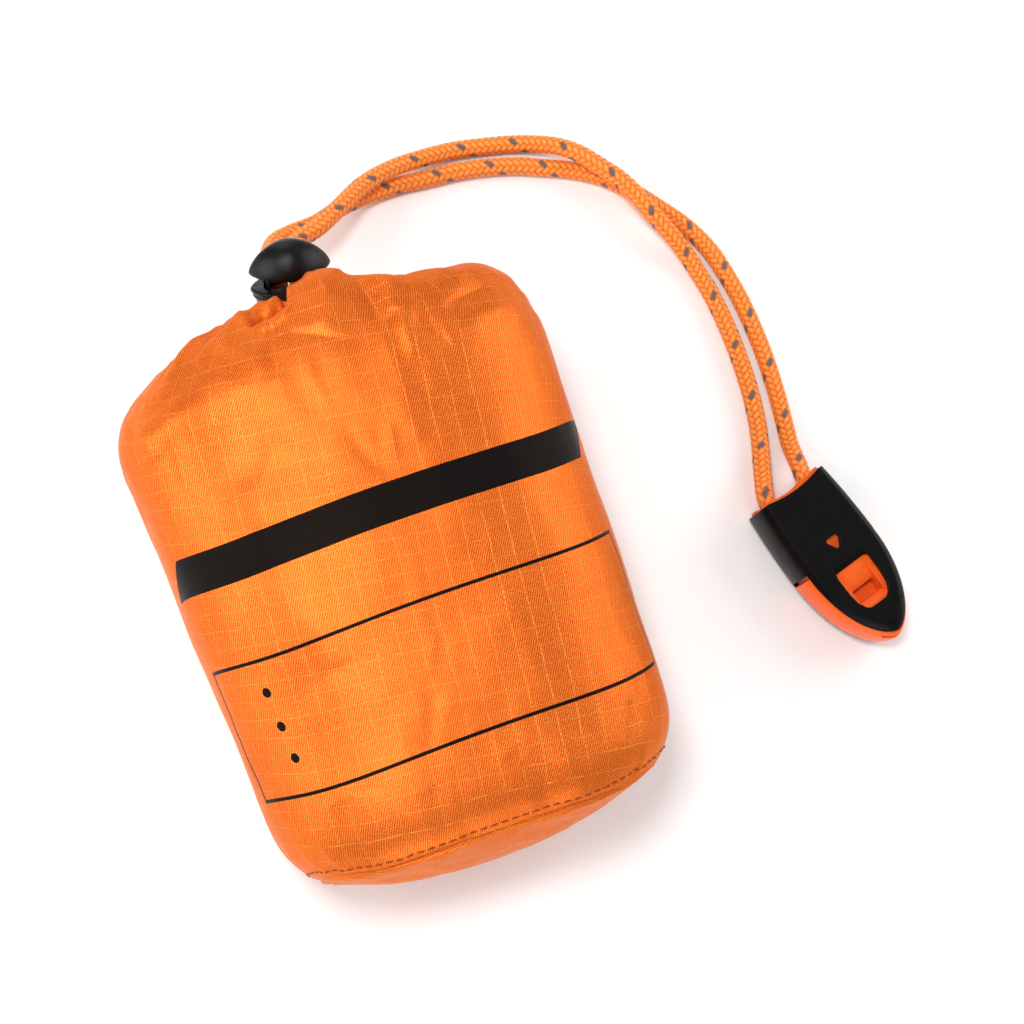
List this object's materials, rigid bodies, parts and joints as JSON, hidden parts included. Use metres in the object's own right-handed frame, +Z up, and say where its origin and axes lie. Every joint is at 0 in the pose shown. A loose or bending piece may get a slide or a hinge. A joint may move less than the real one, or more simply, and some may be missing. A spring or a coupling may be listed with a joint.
{
  "type": "emergency sleeping bag in a drawcord sack",
  "caption": "Foil emergency sleeping bag rolled inside a gathered nylon sack, closed by a doubled drawcord with a sprung cord lock and a whistle on its end.",
  "frame": {"origin": "under the middle of the sack, on the surface that it lies on", "axes": "+X across the sack towards the side that the whistle lies on, +Y from the base panel to the gathered neck, +Z up"},
  "size_m": [0.1548, 0.1567, 0.058],
  "materials": {
    "orange_nylon": "ripstop weave with a slight sheen",
    "foil_film": "metallised film, bright and creased",
    "orange_braid": "braided cover with grey reflective flecks",
    "black_plastic": "satin moulded",
    "spring_steel": "bright wire",
    "orange_plastic": "smooth moulded"
  },
  "bodies": {
    "sack": {"sack_body": "orange_nylon", "sack_base": "orange_nylon", "mouth_hem": "orange_nylon", "sleeping_bag_roll": "foil_film", "drawcord_in_hem": "orange_braid", "drawcord_front_strand": "orange_braid", "drawcord_back_strand": "orange_braid", "drawcord_bight": "orange_braid"},
    "cord_lock": {"cord_lock_body": "black_plastic", "cord_lock_spring": "spring_steel"},
    "lock_button": {"cord_lock_button": "black_plastic"},
    "whistle": {"whistle_core": "orange_plastic", "whistle_sleeve": "black_plastic"}
  },
  "joints": [
    {"name": "lock_slide", "type": "slide", "parent": "sack", "child": "cord_lock", "axis": [0.1063, 0.7114, -0.6947], "range_m": [0, 0.012]},
    {"name": "button_press", "type": "slide", "parent": "cord_lock", "child": "lock_button", "axis": [-0.1027, -0.687, -0.7193], "range_m": [0, 0.0023], "stiffness_N_per_m": 800, "springref_m": -0.003, "deforming": ["cord_lock_spring"]},
    {"name": "whistle_swing", "type": "hinge", "parent": "sack", "child": "whistle", "pos_m": [0.0935, -0.0146, 0], "axis": [0, 0, 1], "range_deg": [-8, 0]}
  ]
}
